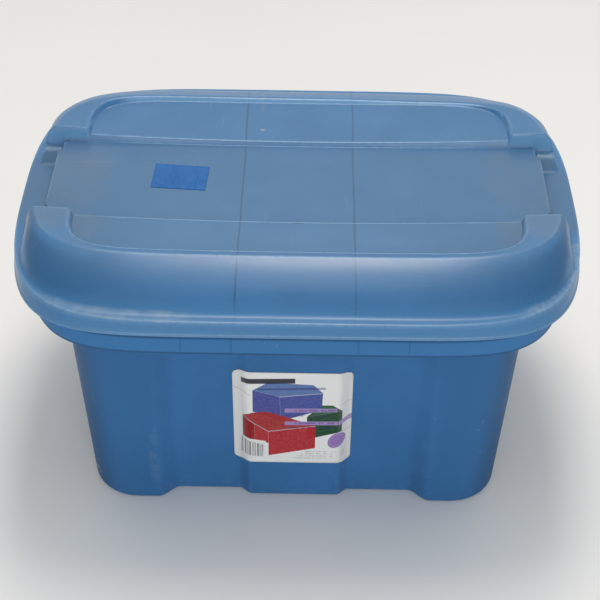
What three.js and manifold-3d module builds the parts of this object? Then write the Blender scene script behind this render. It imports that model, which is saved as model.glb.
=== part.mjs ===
// Stack-and-nest storage tote: a fluted tub, a one-piece lift-off lid with two raised humps
// and a stacking channel between them, a film label on the front wall and a patch of tape on
// the lid.
// Millimetres, +Z up, +X to the right, front towards -Y, origin on the floor under the middle.
import * as THREE from "three";
import { mergeVertices } from "three/addons/utils/BufferGeometryUtils.js";
import Module from "manifold-3d";

const wasm = await Module();
wasm.setup();

// ---------------------------------------------------------------- driving dimensions
const PLASTIC = 2.5; // wall thickness of both mouldings
const REST_GAP = 0.3; // clearance between pieces that lie on each other
const OUTLINE_STEPS = 96; // points round a lid or rim outline

// Outlines are |x/a|^m + |y/b|^n = 1: a and b are half-lengths, m and n square the corners.
const SKIRT = { a: 324, b: 236, m: 5.8, n: 2.95 }; // outer edge of the lid, at the ledge
const SKIRT_FOOT = { a: 325, b: 237, m: 6.8, n: 2.95 }; // the skirt's lower edge, squarer
const SLOPE_FOOT = { a: 316.5, b: 224, m: 6, n: 3.6 }; // where the humps rise from the ledge
const RIDGE = { a: 310, b: 165.3, m: 6.9, n: 2.36 }; // top outer edge of the humps
const RECESS = { a: 254, b: 158.5, m: 8, n: 8 }; // both hump recesses, parted by the trough
const FRONT_CURB = 4; // the front recess stops this much further from the ridge
const APRON = { a: 312, b: 227.5, m: 7.5, n: 2.4 }; // down-turned edge of the tub's rim

const LID = {
  skirtBottom: 302.4,
  ledge: 322.4, // narrow ledge all round, and the two end ledges
  panel: 343.2, // sunken panel that carries a stacked tote
  recess: 351, // shallow recess on each hump
  top: 360.5, // curb and horns of the humps
  edgeRound: 1.5,
  footTilt: 47, // degrees: the humps' outer slope is an arc between these tilts
  ridgeTilt: 17,
  slopeSteps: 6,
  troughHalf: 79.5, // half-width of the stacking channel at its floor
  troughDraft: 2.5,
  panelEnd: 290, // x where the panel drops to the end ledge
  endShoulder: 336, // height where a hump's end face turns into its ramp
  rampFoot: 58, // y where the ramp meets the end ledge
  ribAt: 64.5, // two stiffening ribs under the lid, front to back
  ribThick: 2,
  ribDeep: 8,
};

const TUB = {
  top: 319.6, // upper face of the rim
  baseHalfX: 245.3,
  baseHalfY: 184.6,
  draftX: 0.0555, // outward lean of the walls, mm per mm
  draftY: 0.0406,
  corner: 57,
  cornerSteps: 8,
  baseRound: 4,
  floorThick: 3.2,
  fade: 0.0022, // the flutes lose this share of their depth per mm of height
  channelDeep: 17.2, // set back of the two front channels at the floor
  centreDeep: 7.4, // set back of the centre panel
  centreEdge: [51, 66], // x where the centre panel turns into a channel
  columnEdge: [145, 162], // x where a channel turns into a corner column
  endDeep: 9, // set back of the channel in each end wall
  endEdge: [46, 60],
  fluteSteps: 4,
  rimThick: 3,
  rimLip: 3.6, // the rim's lip stops this far inside the lid's outer edge
  apronBottom: 270,
  gussetThick: 2,
  gussetBottom: 286,
  gussetX: [69, 124], // gussets behind the front and back apron
  gussetY: [70], // gussets behind the end aprons
};

const LABEL = { x: -2.4, halfX: 69, bottom: 60.7, top: 211.7, corner: 8, thick: 0.4 };
const TAPE = { x: -139, y: 10, wide: 64, deep: 48.5, thick: 0.3, turn: -3 };

// ---------------------------------------------------------------- solids
function toSolid(geometry) {
  const bare = geometry.clone();
  bare.deleteAttribute("normal");
  bare.deleteAttribute("uv");
  const merged = mergeVertices(bare, 1e-4);
  return new wasm.Manifold(
    new wasm.Mesh({
      numProp: 3,
      vertProperties: new Float32Array(merged.attributes.position.array),
      triVerts: new Uint32Array(merged.index.array),
    }),
  );
}

function toGeometry(solid) {
  const mesh = solid.getMesh();
  const geometry = new THREE.BufferGeometry();
  geometry.setAttribute("position", new THREE.BufferAttribute(mesh.vertProperties, 3));
  geometry.setIndex(new THREE.BufferAttribute(mesh.triVerts, 1));
  geometry.computeVertexNormals();
  return geometry;
}

// A closed solid through a stack of level outlines, lowest first, each anticlockwise from above.
function loft(levels) {
  const count = levels[0].points.length;
  const position = levels.flatMap(({ z, points }) => points.flatMap((p) => [p.x, p.y, z]));
  const index = [];
  for (let level = 0; level + 1 < levels.length; level++) {
    for (let i = 0; i < count; i++) {
      const low = level * count + i;
      const lowNext = level * count + ((i + 1) % count);
      index.push(low, lowNext, lowNext + count, low, lowNext + count, low + count);
    }
  }
  const lidStart = (levels.length - 1) * count;
  for (const [a, b, c] of THREE.ShapeUtils.triangulateShape(levels[0].points, [])) {
    index.push(a, c, b);
  }
  for (const [a, b, c] of THREE.ShapeUtils.triangulateShape(levels.at(-1).points, [])) {
    index.push(lidStart + a, lidStart + b, lidStart + c);
  }
  const geometry = new THREE.BufferGeometry();
  geometry.setAttribute("position", new THREE.Float32BufferAttribute(position, 3));
  geometry.setIndex(index);
  return toSolid(geometry);
}

// A straight bar along X whose section is drawn in (y, z).
function barAlongX(section, from, to) {
  const shape = new THREE.Shape(section.map(([y, z]) => new THREE.Vector2(y, z)));
  const geometry = new THREE.ExtrudeGeometry(shape, { depth: to - from, bevelEnabled: false });
  const turn = new THREE.Matrix4().makeBasis(
    new THREE.Vector3(0, 1, 0),
    new THREE.Vector3(0, 0, 1),
    new THREE.Vector3(1, 0, 0),
  );
  geometry.applyMatrix4(turn).translate(from, 0, 0);
  return toSolid(geometry);
}

function box([x0, y0, z0], [x1, y1, z1]) {
  const geometry = new THREE.BoxGeometry(x1 - x0, y1 - y0, z1 - z0);
  geometry.translate((x0 + x1) / 2, (y0 + y1) / 2, (z0 + z1) / 2);
  return toSolid(geometry);
}

function superOutline({ a, b, m, n }, inset = 0) {
  const points = [];
  for (let i = 0; i < OUTLINE_STEPS; i++) {
    const angle = (2 * Math.PI * i) / OUTLINE_STEPS;
    const across = Math.cos(angle);
    const along = Math.sin(angle);
    const x = Math.sign(across) * (a - inset) * Math.abs(across) ** (2 / m);
    const y = Math.sign(along) * (b - inset) * Math.abs(along) ** (2 / n);
    points.push(new THREE.Vector2(x, y));
  }
  return points;
}

const mix = THREE.MathUtils.lerp;
const degrees = THREE.MathUtils.degToRad;

// ---------------------------------------------------------------- lid
// The humps' outer slope: one arc whose tilt falls from footTilt to ridgeTilt.
function crown(skin) {
  const foot = degrees(LID.footTilt);
  const ridge = degrees(LID.ridgeTilt);
  const levels = [{ z: LID.skirtBottom, points: superOutline(SLOPE_FOOT, skin) }];
  for (let i = 0; i <= LID.slopeSteps; i++) {
    const tilt = mix(foot, ridge, i / LID.slopeSteps);
    const inward = (Math.sin(foot) - Math.sin(tilt)) / (Math.sin(foot) - Math.sin(ridge));
    const upward = (Math.cos(tilt) - Math.cos(foot)) / (Math.cos(ridge) - Math.cos(foot));
    const outline = {
      a: mix(SLOPE_FOOT.a, RIDGE.a, inward) - skin,
      b: mix(SLOPE_FOOT.b, RIDGE.b, inward) - skin * Math.sin(tilt),
      m: mix(SLOPE_FOOT.m, RIDGE.m, inward),
      n: mix(SLOPE_FOOT.n, RIDGE.n, inward),
    };
    const z = mix(LID.ledge, LID.top, upward) - skin * Math.cos(tilt);
    levels.push({ z, points: superOutline(outline) });
  }
  return loft(levels);
}

function skirt(skin) {
  const bottom = LID.skirtBottom - 2 * skin;
  const top = LID.ledge - skin;
  return loft([
    { z: bottom, points: superOutline(SKIRT_FOOT, skin) },
    { z: top - LID.edgeRound, points: superOutline(SKIRT, skin) },
    { z: top, points: superOutline(SKIRT, skin + LID.edgeRound) },
  ]);
}

// The channel across the middle that takes the feet of a tote stacked on top.
function stackingTrough(skin) {
  const floor = LID.panel - skin;
  const above = LID.top + 20;
  const low = LID.troughHalf + skin;
  const high = low + LID.troughDraft;
  const section = [[-low, floor], [low, floor], [high, above], [-high, above]];
  return barAlongX(section, -SKIRT.a, SKIRT.a);
}

// The notch at one end: it drops from the panel to the end ledge, with a ramp to each hump.
function endNotch(side, skin) {
  const above = LID.top + 20;
  const ramp = LID.rampFoot + skin;
  const low = LID.troughHalf + skin;
  const high = low + LID.troughDraft;
  const floor = LID.ledge - skin;
  const shoulder = LID.endShoulder - skin;
  const section = [
    [-ramp, floor],
    [ramp, floor],
    [low, shoulder],
    [high, above],
    [-high, above],
    [-low, shoulder],
  ];
  const near = LID.panelEnd - skin;
  const far = SKIRT.a + 10;
  return side > 0 ? barAlongX(section, near, far) : barAlongX(section, -far, -near);
}

// The shallow recesses on both humps: one cut, because the trough already parts them.
function humpRecess(skin) {
  const outline = superOutline(RECESS, -skin);
  const frontShare = (RECESS.b - FRONT_CURB) / RECESS.b;
  outline.filter((point) => point.y < 0).forEach((point) => point.setY(point.y * frontShare));
  return loft([
    { z: LID.recess - skin, points: outline },
    { z: LID.top + 20, points: outline },
  ]);
}

// The lid's outer form, or its inside form when skin is the plastic's thickness.
function lidForm(skin) {
  return skirt(skin)
    .add(crown(skin))
    .subtract(stackingTrough(skin))
    .subtract(endNotch(1, skin))
    .subtract(endNotch(-1, skin))
    .subtract(humpRecess(skin));
}

function lidSolid() {
  const inside = lidForm(PLASTIC);
  const below = inside.translate([0, 0, -LID.ribDeep]);
  let hollow = inside;
  for (const side of [-1, 1]) {
    const middle = side * LID.ribAt;
    const low = [middle - LID.ribThick / 2, -SKIRT.b, TUB.top + 2 * REST_GAP];
    const high = [middle + LID.ribThick / 2, SKIRT.b, LID.top];
    hollow = hollow.subtract(box(low, high).subtract(below));
  }
  return lidForm(0).subtract(hollow);
}

// ---------------------------------------------------------------- tub
// 0 before the first edge, 1 after the second, with an S-shaped step between.
function softStep(value, [from, to]) {
  return THREE.MathUtils.smoothstep(value, from, to);
}

// How far the front wall is set back from the face of its corner columns.
function frontSetBack(x, z) {
  const centre = TUB.centreDeep;
  const channel = mix(centre, TUB.channelDeep, softStep(Math.abs(x), TUB.centreEdge));
  return channel * (1 - softStep(Math.abs(x), TUB.columnEdge)) * (1 - TUB.fade * z);
}

function endSetBack(y, z) {
  return TUB.endDeep * (1 - softStep(Math.abs(y), TUB.endEdge)) * (1 - TUB.fade * z);
}

// Places along a wall where its flutes need a point, from one end to the other.
function fluteStations(edges) {
  const half = edges.flatMap(([from, to]) =>
    Array.from({ length: TUB.fluteSteps + 1 }, (_, i) => mix(from, to, i / TUB.fluteSteps)),
  );
  return [...half.map((v) => -v).reverse(), ...half];
}

// The tub's plan at height z, moved in by inset.
function tubOutline(z, inset) {
  const halfX = TUB.baseHalfX + TUB.draftX * z - inset;
  const halfY = TUB.baseHalfY + TUB.draftY * z - inset;
  const radius = TUB.corner - inset;
  const frontStations = fluteStations([TUB.centreEdge, TUB.columnEdge]);
  const endStations = fluteStations([TUB.endEdge]);
  const front = frontStations.map((x) => [x, frontSetBack(x, z) - halfY]);
  const right = endStations.map((y) => [halfX - endSetBack(y, z), y]);
  const corner = (startAngle) => {
    const centreX = Math.sign(Math.cos(startAngle + Math.PI / 4)) * (halfX - radius);
    const centreY = Math.sign(Math.sin(startAngle + Math.PI / 4)) * (halfY - radius);
    return Array.from({ length: TUB.cornerSteps + 1 }, (_, i) => {
      const angle = startAngle + (Math.PI / 2) * (i / TUB.cornerSteps);
      return [centreX + radius * Math.cos(angle), centreY + radius * Math.sin(angle)];
    });
  };
  const turned = (side) => side.map(([x, y]) => [-x, -y]);
  const ring = [
    ...front,
    ...corner(-Math.PI / 2),
    ...right,
    ...corner(0),
    ...turned(front),
    ...corner(Math.PI / 2),
    ...turned(right),
    ...corner(Math.PI),
  ];
  return ring.map(([x, y]) => new THREE.Vector2(x, y));
}

function wallForm(inset, bottom, top) {
  return loft([
    { z: bottom, points: tubOutline(bottom, inset + TUB.baseRound) },
    { z: bottom + 0.3 * TUB.baseRound, points: tubOutline(bottom, inset + 0.3 * TUB.baseRound) },
    { z: bottom + TUB.baseRound, points: tubOutline(bottom + TUB.baseRound, inset) },
    { z: top, points: tubOutline(top, inset) },
  ]);
}

function apronForm(inset, bottom, top) {
  const outline = superOutline(APRON, inset);
  return loft([{ z: bottom, points: outline }, { z: top, points: outline }]);
}

function rimSolid() {
  const under = TUB.top - TUB.rimThick;
  const lip = superOutline(SKIRT, TUB.rimLip);
  const edge = superOutline(SKIRT, TUB.rimLip + LID.edgeRound);
  const plate = loft([
    { z: under, points: lip },
    { z: TUB.top - LID.edgeRound, points: lip },
    { z: TUB.top, points: edge },
  ]);
  const outer = apronForm(0, TUB.apronBottom, under + 1);
  return plate.add(outer.subtract(apronForm(PLASTIC, TUB.apronBottom - 1, under)));
}

// Upright plates that tie the apron to the wall.
function gussets() {
  const half = TUB.gussetThick / 2;
  const low = TUB.gussetBottom;
  const high = TUB.top - 1;
  const plates = [
    ...TUB.gussetX.map((x) => [[x - half, -SKIRT.b, low], [x + half, SKIRT.b, high]]),
    ...TUB.gussetX.map((x) => [[-x - half, -SKIRT.b, low], [-x + half, SKIRT.b, high]]),
    ...TUB.gussetY.map((y) => [[-SKIRT.a, y - half, low], [SKIRT.a, y + half, high]]),
    ...TUB.gussetY.map((y) => [[-SKIRT.a, -y - half, low], [SKIRT.a, -y + half, high]]),
  ];
  const all = plates.map(([from, to]) => box(from, to)).reduce((sum, plate) => sum.add(plate));
  return all.intersect(apronForm(PLASTIC / 2, low - 1, high));
}

function tubSolid() {
  const cavity = wallForm(PLASTIC, TUB.floorThick, TUB.top + 10);
  return wallForm(0, 0, TUB.top).add(rimSolid()).add(gussets()).subtract(cavity);
}

// ---------------------------------------------------------------- label and tape
// A film that follows the centre panel and turns into the channels at both ends.
function labelSolid() {
  const near = REST_GAP;
  const far = REST_GAP + LABEL.thick;
  const sheet = wallForm(-far, 0, TUB.top).subtract(wallForm(-near, -1, TUB.top + 1));
  const { halfX, bottom, top, corner } = LABEL;
  const shape = new THREE.Shape();
  shape.moveTo(-halfX + corner, bottom);
  shape.lineTo(halfX - corner, bottom);
  shape.absarc(halfX - corner, bottom + corner, corner, -Math.PI / 2, 0);
  shape.lineTo(halfX, top - corner);
  shape.absarc(halfX - corner, top - corner, corner, 0, Math.PI / 2);
  shape.lineTo(-halfX + corner, top);
  shape.absarc(-halfX + corner, top - corner, corner, Math.PI / 2, Math.PI);
  shape.lineTo(-halfX, bottom + corner);
  shape.absarc(-halfX + corner, bottom + corner, corner, Math.PI, 1.5 * Math.PI);
  const cutter = new THREE.ExtrudeGeometry(shape, {
    depth: SKIRT.b,
    bevelEnabled: false,
    curveSegments: 4,
  });
  cutter.rotateX(Math.PI / 2).translate(LABEL.x, 0, 0);
  return sheet.intersect(toSolid(cutter));
}

function tapeMesh() {
  const mesh = namedMesh(
    "tape_patch",
    new THREE.BoxGeometry(TAPE.wide, TAPE.deep, TAPE.thick),
    { color: 0x2a63b8, roughness: 0.6, metalness: 0 },
  );
  mesh.position.set(TAPE.x, TAPE.y, LID.panel + REST_GAP + TAPE.thick / 2);
  mesh.rotation.z = degrees(TAPE.turn);
  return mesh;
}

// ---------------------------------------------------------------- assembly
function namedMesh(name, geometry, look) {
  const mesh = new THREE.Mesh(geometry, new THREE.MeshStandardMaterial(look));
  mesh.name = name;
  return mesh;
}

function tubGroup() {
  const group = new THREE.Group();
  group.add(
    namedMesh("tub", toGeometry(tubSolid()), { color: 0x336ba8, roughness: 0.5, metalness: 0 }),
    namedMesh("front_label", toGeometry(labelSolid()), {
      color: 0xe8e6e2,
      roughness: 0.4,
      metalness: 0,
    }),
  );
  return group;
}

function lidGroup() {
  const group = new THREE.Group();
  const look = { color: 0x4c7fb0, roughness: 0.45, metalness: 0 };
  group.add(namedMesh("lid", toGeometry(lidSolid()), look), tapeMesh());
  return group;
}

const tote = new THREE.Group();
tote.name = "storage_tote";
tote.add(tubGroup(), lidGroup());

export default tote;
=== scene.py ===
"""Looks of the stack-and-nest storage tote: smooth mouldings, printed label, tape and a soft studio."""

import math

import bpy
import numpy as np
from mathutils import Matrix, Vector


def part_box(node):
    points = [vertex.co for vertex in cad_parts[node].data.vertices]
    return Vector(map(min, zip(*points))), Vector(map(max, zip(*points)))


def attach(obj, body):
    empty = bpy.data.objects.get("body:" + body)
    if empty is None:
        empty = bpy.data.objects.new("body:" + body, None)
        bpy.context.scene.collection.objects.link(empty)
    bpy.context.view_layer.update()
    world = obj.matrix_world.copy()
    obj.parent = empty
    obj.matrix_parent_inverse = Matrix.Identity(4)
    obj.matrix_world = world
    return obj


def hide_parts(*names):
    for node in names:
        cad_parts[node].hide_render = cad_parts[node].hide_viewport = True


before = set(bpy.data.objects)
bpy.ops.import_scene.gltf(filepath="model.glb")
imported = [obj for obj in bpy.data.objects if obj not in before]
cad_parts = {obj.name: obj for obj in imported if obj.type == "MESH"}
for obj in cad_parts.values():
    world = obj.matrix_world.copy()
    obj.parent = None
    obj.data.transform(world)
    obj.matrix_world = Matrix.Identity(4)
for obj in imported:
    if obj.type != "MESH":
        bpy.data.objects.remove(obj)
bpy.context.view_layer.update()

MM = 0.001
TUB_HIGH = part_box("tub")[1]
LID_LOW, LID_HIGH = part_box("lid")
LABEL_LOW, LABEL_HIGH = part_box("front_label")
TAPE_LOW, TAPE_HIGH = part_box("tape_patch")

# ---------------- driving sizes, in metres
PLASTIC = 2.5 * MM
SKIRT_FLARE = 1 * MM
LID_TOP = LID_HIGH.z
SKIRT_BOTTOM = LID_LOW.z
LEDGE = LID_TOP - 38.1 * MM
PANEL = LID_TOP - 17.3 * MM
RECESS = LID_TOP - 9.5 * MM
RIM_TOP = TUB_HIGH.z

# Outlines are |x/a|^m + |y/b|^n = 1, as (a, b, m, n).
SKIRT = (LID_HIGH.x - SKIRT_FLARE, LID_HIGH.y - SKIRT_FLARE, 5.8, 2.95)
SKIRT_FOOT = (LID_HIGH.x, LID_HIGH.y, 6.8, 2.95)
SLOPE_FOOT = (SKIRT[0] - 7.5 * MM, SKIRT[1] - 12 * MM, 6, 3.6)
RIDGE = (SKIRT[0] - 14 * MM, SKIRT[1] - 70.7 * MM, 6.9, 2.36)
RECESS_EDGE = (SKIRT[0] - 70 * MM, SKIRT[1] - 77.5 * MM, 8, 8)
APRON = (SKIRT[0] - 12 * MM, SKIRT[1] - 8.5 * MM, 7.5, 2.4)

# ---------------- mesh helpers


def smooth_step(value, low, high):
    """0 below low, 1 above high, an S-curve between."""
    t = np.clip((value - low) / (high - low), 0, 1)
    return t * t * (3 - 2 * t)


def soft_min(a, b, reach):
    """The smaller of a and b, with the corner between them rounded over that reach."""
    h = np.clip(1 - np.abs(a - b) / reach, 0, 1)
    return np.minimum(a, b) - h * h * reach / 4


def soft_max(a, b, reach):
    return -soft_min(-a, -b, reach)


def outline_value(x, y, a, b, m, n):
    """Below 0 inside the outline and above 0 outside."""
    return np.abs(x / a) ** m + np.abs(y / b) ** n - 1


def outline_distance(x, y, outline):
    """Roughly how far outside the outline a point is, in metres."""
    a, b, m, n = outline
    value = outline_value(x, y, a, b, m, n)
    slope_x = m * np.abs(x / a) ** (m - 1) / a
    slope_y = n * np.abs(y / b) ** (n - 1) / b
    return value / np.maximum(np.hypot(slope_x, slope_y), 0.5)


def grown(outline, by):
    a, b, m, n = outline
    return (a + by, b + by, m, n)


def reach_factor(x, y, outline):
    """How much (x, y) has to be scaled from the origin to land on the outline."""
    low = np.full_like(x, 0.3)
    high = np.full_like(x, 3.0)
    for _ in range(40):
        middle = (low + high) / 2
        inside = outline_value(x * middle, y * middle, *outline) < 0
        low = np.where(inside, middle, low)
        high = np.where(inside, high, middle)
    return (low + high) / 2


def add_mesh(name, points, faces):
    mesh = bpy.data.meshes.new(name)
    mesh.from_pydata(points.tolist(), [], faces)
    mesh.validate()
    mesh.shade_smooth()
    piece = bpy.data.objects.new(name, mesh)
    bpy.context.scene.collection.objects.link(piece)
    return piece


def bridge(ring_a, ring_b):
    """Quads between two closed rings of vertex numbers; ring_b is up or in from ring_a."""
    count = len(ring_a)
    return [
        (ring_a[i], ring_a[(i + 1) % count], ring_b[(i + 1) % count], ring_b[i])
        for i in range(count)
    ]


# ---------------- lid form
FOOT_TILT = math.radians(47)
RIDGE_TILT = math.radians(17)
TROUGH_HALF = 80.5 * MM
PANEL_END = 290.5 * MM
PANEL_NARROW = 5 * MM  # the panel is this much shorter beside the ramps
PANEL_CORNER = 5 * MM  # and by this much again at its corners
RAMP_FOOT = 57 * MM
RAMP_TOP = 71 * MM
RAMP_RISE = 12.5 * MM
FRONT_DISH, REAR_DISH = 1.5 * MM, 2.6 * MM  # how far the recess floors rise towards the ridges
WALL_RUN = 3.6 * MM  # plan width of the steep steps, fillets included
SAG = 5.5 * MM  # how far the middle of the lid has sunk
SAG_REACH = 290 * MM
INNER_DROP = 3.6 * MM  # extra sinking of the humps' inner edges
REAR_DROP = 2.9 * MM  # extra sinking of the rear ridge
REAR_REACH = 260 * MM
REAR_FROM = (105 * MM, 150 * MM)  # behind these y the rear ridge's extra sinking sets in
REAR_EASE = 30 * MM  # it grows weaker over this distance behind the ridge
REAR_HELD = 25 * MM  # and ends over this distance before the slope's foot
RIGHT_DROP = 2.5 * MM  # extra sinking of the rear ridge's right half
RIGHT_FROM = (40 * MM, 170 * MM)  # that sets in over these x
RIGHT_TO = (220 * MM, 275 * MM)  # and ends over these
RIB_AT = 64.5 * MM  # the ribs lie at this x on both sides
RIB_HALF = 1 * MM
RIB_DEEP = 8 * MM
FRONT_CURB = 4 * MM  # the front recess stops this much further from the ridge
TIP_Y = (84 * MM, 130 * MM)
TIP_DRAW = 0.014  # share by which the slopes draw in towards the humps' end faces
CROWN_ROUND = 0.6 * MM
LEDGE_FILLET = 3.4 * MM
RAMP_ROUND = 3 * MM
SHOULDER_SLOPE = 0.25


def slope_height(x, y, skin):
    """Height of the humps' outer slope, an arc that runs on past its foot and its ridge."""
    low = np.full_like(x, -0.5)
    high = np.full_like(x, 1.6)
    foot = np.array(grown(SLOPE_FOOT, -skin))
    ridge = np.array(grown(RIDGE, -0.6 * skin))
    for _ in range(32):
        share = (low + high) / 2
        a, b, m, n = (foot[k] + (ridge[k] - foot[k]) * share for k in range(4))
        inside = outline_value(x, y, a, b, m, n) < 0
        low = np.where(inside, share, low)
        high = np.where(inside, high, share)
    share = (low + high) / 2
    sine = math.sin(FOOT_TILT) - share * (math.sin(FOOT_TILT) - math.sin(RIDGE_TILT))
    rise = (np.sqrt(1 - sine**2) - math.cos(FOOT_TILT)) / (math.cos(RIDGE_TILT) - math.cos(FOOT_TILT))
    return LEDGE + rise * (LID_TOP - LEDGE)


def sag(x, y):
    """How far the worn lid has sunk at (x, y)."""
    across = np.clip(1 - (x / SAG_REACH) ** 2, 0, 1)
    along = np.clip(1 - (y / SKIRT[1]) ** 2, 0, 1) ** 1.5
    side = np.abs(y)
    inner = smooth_step(side, TROUGH_HALF - 1.5 * MM, TROUGH_HALF + 2 * MM)
    inner = inner * (1 - smooth_step(side, TROUGH_HALF + 4 * MM, RECESS_EDGE[1]))
    ridge = smooth_step(outline_distance(x, y, RECESS_EDGE), -2 * MM, 2 * MM)
    ridge = ridge * smooth_step(y, *REAR_FROM)
    behind = smooth_step(y, RIDGE[1], RIDGE[1] + REAR_EASE)
    held = 1 - smooth_step(y, SLOPE_FOOT[1] - REAR_HELD, SLOPE_FOOT[1])
    rear_across = np.clip(1 - (x / REAR_REACH) ** 4, 0, 1) * (1 + 0.6 * x)
    right = smooth_step(x, *RIGHT_FROM) * (1 - smooth_step(x, *RIGHT_TO))
    rear = (REAR_DROP * rear_across + RIGHT_DROP * right) * ridge * (1 - 0.45 * behind)
    return SAG * across * along + INNER_DROP * across * inner + rear * held


def lid_height(x, y, skin=0.0):
    """Upper surface of the lid, or its underside when skin is the plastic's thickness."""
    drawn_in = 1 + TIP_DRAW * (1 - smooth_step(np.abs(y), *TIP_Y))
    crown = soft_min(slope_height(x * drawn_in, y, skin), np.full_like(x, LID_TOP), CROWN_ROUND)
    crown = soft_max(crown, np.full_like(x, LEDGE), LEDGE_FILLET)
    half_run = WALL_RUN / 2

    recess_y = np.where(y < 0, y * RECESS_EDGE[1] / (RECESS_EDGE[1] - FRONT_CURB), y)
    outside_recess = outline_distance(x, recess_y, grown(RECESS_EDGE, skin))
    recess_floor = RECESS + np.where(y < 0, FRONT_DISH, REAR_DISH) * (y / RIDGE[1]) ** 2
    height = np.minimum(recess_floor, crown)
    height = height + (crown - height) * smooth_step(outside_recess, -half_run, half_run)

    off_trough = np.abs(y) - TROUGH_HALF - skin
    trough = np.minimum(PANEL, height)
    middle = trough + (height - trough) * smooth_step(off_trough, -half_run, half_run)

    ramp_share = (np.abs(y) - RAMP_FOOT - skin) / (RAMP_TOP - RAMP_FOOT)
    slanted = LEDGE + RAMP_RISE * np.maximum(ramp_share, 0)
    past_ramp = np.maximum(np.abs(y) - RAMP_TOP, RAMP_FOOT - RAMP_TOP)
    shoulder = LEDGE + RAMP_RISE + SHOULDER_SLOPE * past_ramp
    ramp = soft_min(slanted, shoulder, RAMP_ROUND)
    notch = np.minimum(ramp, crown)
    end = notch + (crown - notch) * smooth_step(off_trough, -half_run, half_run)

    panel_end = PANEL_END - PANEL_NARROW * smooth_step(np.abs(y), RAMP_FOOT - 4 * MM, RAMP_FOOT + 6 * MM)
    panel_end = panel_end - PANEL_CORNER * smooth_step(np.abs(y), TROUGH_HALF - 7 * MM, TROUGH_HALF) ** 2
    past_panel = np.abs(x) - panel_end + skin
    height = middle + (end - middle) * smooth_step(past_panel, -half_run, half_run)
    return height - sag(x, y) - skin


def spaced(stops):
    """Grid lines from the first stop to the last; each stop is (place, spacing up to the next)."""
    lines = []
    for (start, step), (end, _) in zip(stops, stops[1:]):
        count = max(1, round((end - start) / step))
        lines += [start + (end - start) * i / count for i in range(count)]
    return np.array(lines + [stops[-1][0]]) * MM


def mirrored(lines):
    return np.concatenate([-lines[:0:-1], lines])


def lid_grid(outline):
    """Grid of plan points that fills the outline: straight lines inside, bent ones near the edge."""
    a, b = SKIRT[0] / MM, SKIRT[1] / MM
    across = mirrored(spaced([
        (0, 8), (62, 1.25), (63.25, 0.5), (65.75, 1.25), (67, 8), (180, 2.6), (251, 0.6), (257, 2.6),
        (286, 0.7), (294, 2.2), (a, 1),
    ]))
    along = mirrored(spaced([
        (0, 8), (54, 2.4), (77, 0.6), (84, 2.6), (150, 1.2), (168, 2.2), (b, 1),
    ]))
    x, y = np.meshgrid(across, along, indexing="ij")
    square = np.maximum(np.abs(x) / SKIRT[0], np.abs(y) / SKIRT[1])
    square = np.maximum(square, 1e-9)
    factor = reach_factor(x / square, y / square, outline)
    bend = smooth_step(square, 0.5, 1.0)
    scale = 1 + (factor - 1) * bend
    return x * scale, y * scale


def grid_edge(rows, columns):
    """Vertex numbers round the edge of a grid, anticlockwise from above."""
    number = np.arange(rows * columns).reshape(rows, columns)
    return np.concatenate([
        number[:-1, 0], number[-1, :-1], number[:0:-1, -1], number[0, :0:-1],
    ]).tolist()


def grid_faces(rows, columns, start, upward):
    faces = []
    for i in range(rows - 1):
        for j in range(columns - 1):
            a = start + i * columns + j
            quad = (a, a + columns, a + columns + 1, a + 1)
            faces.append(quad if upward else quad[::-1])
    return faces


def build_lid():
    edge_round = 1.3 * MM
    x, y = lid_grid(grown(SKIRT, -edge_round))
    rows, columns = x.shape
    top = np.stack([x, y, lid_height(x, y)], -1).reshape(-1, 3)
    inner_x, inner_y = lid_grid(grown(SKIRT, -PLASTIC))
    under = lid_height(inner_x, inner_y, PLASTIC)
    off_rib = np.abs(np.abs(inner_x) - RIB_AT) - RIB_HALF
    rib = np.maximum(under - RIB_DEEP, np.minimum(under, RIM_TOP + 0.6 * MM))
    under = under + (rib - under) * (1 - smooth_step(off_rib, 0, 0.4 * MM))
    bottom = np.stack([inner_x, inner_y, under], -1).reshape(-1, 3)

    edge = grid_edge(rows, columns)
    edge_plan = top[edge, :2]
    top_z = top[edge, 2].mean()
    depth = top_z - SKIRT_BOTTOM
    bead, lip = 0.7 * MM, 0.4 * MM
    rings = []
    for turn in quarter_turn(5):
        outline = grown(SKIRT, -edge_round * (1 - math.sin(turn)))
        rings.append(ring_at(rim_plan(edge_plan, outline), top_z - edge_round * (1 - math.cos(turn))))
    for share, back in ((0.3, 1), (0.6, 1), (0.76, 1), (0.79, 1), (0.82, 0.6), (0.85, 0.15), (0.88, 0)):
        outline = [top_one + (low_one - top_one) * share for top_one, low_one in zip(SKIRT, SKIRT_FOOT)]
        plan = rim_plan(edge_plan, grown(outline, -bead * back * share))
        rings.append(ring_at(plan, top_z - depth * share))
    for inset, rise in ((0, lip), (lip, 0), (PLASTIC - lip, 0), (PLASTIC, lip)):
        rings.append(ring_at(rim_plan(edge_plan, grown(SKIRT_FOOT, -inset)), SKIRT_BOTTOM + rise))
    half_way = [(a + b) / 2 for a, b in zip(SKIRT, SKIRT_FOOT)]
    rings.append(ring_at(rim_plan(edge_plan, grown(half_way, -PLASTIC)), top_z - depth / 2))
    points = np.concatenate([top, *rings, bottom])
    numbers = [edge]
    for k in range(len(rings)):
        start = len(top) + k * len(edge)
        numbers.append(list(range(start, start + len(edge))))
    bottom_start = len(top) + len(rings) * len(edge)
    numbers.append([bottom_start + i for i in edge])
    faces = grid_faces(rows, columns, 0, True) + grid_faces(rows, columns, bottom_start, False)
    for upper, lower in zip(numbers, numbers[1:]):
        faces += bridge(lower, upper)
    return add_mesh("lid_moulding", points, faces)


def quarter_turn(steps):
    """Angles from just past 0 to a right angle."""
    return [math.pi / 2 * (i + 1) / steps for i in range(steps)]


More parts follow.
